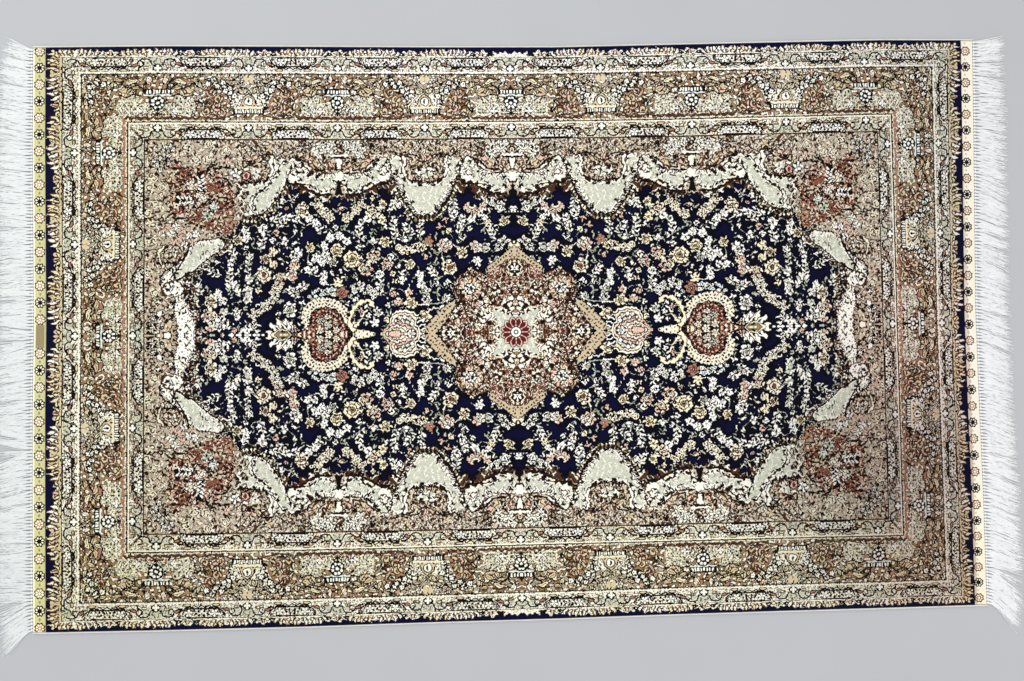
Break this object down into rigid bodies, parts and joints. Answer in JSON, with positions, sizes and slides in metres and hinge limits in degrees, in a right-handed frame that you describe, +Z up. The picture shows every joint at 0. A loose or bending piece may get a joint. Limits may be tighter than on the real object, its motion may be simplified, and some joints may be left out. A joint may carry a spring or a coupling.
{
  "type": "silk rug",
  "caption": "Hand-knotted silk medallion rug lying flat, with flat-woven ends, overcast side edges and knotted warp fringes.",
  "frame": {"origin": "middle of the rug's underside, on the floor", "axes": "+X along the rug, +Y across it, +Z up out of the pile"},
  "size_m": [1.6255, 0.9477, 0.0036],
  "materials": {
    "silk_pile": "short knotted silk pile with a soft sheen: navy, ivory, rust and camel dyes in a fine floral design",
    "overcast_silk": "close wraps of undyed silk thread, satin",
    "silk_warp": "bleached silk warp yarns, loosely twisted, soft sheen"
  },
  "bodies": {
    "root": {"rug": "silk_pile", "side_cord_back": "overcast_silk", "side_cord_front": "overcast_silk", "fringe_left": "silk_warp", "fringe_right": "silk_warp"}
  },
  "joints": []
}
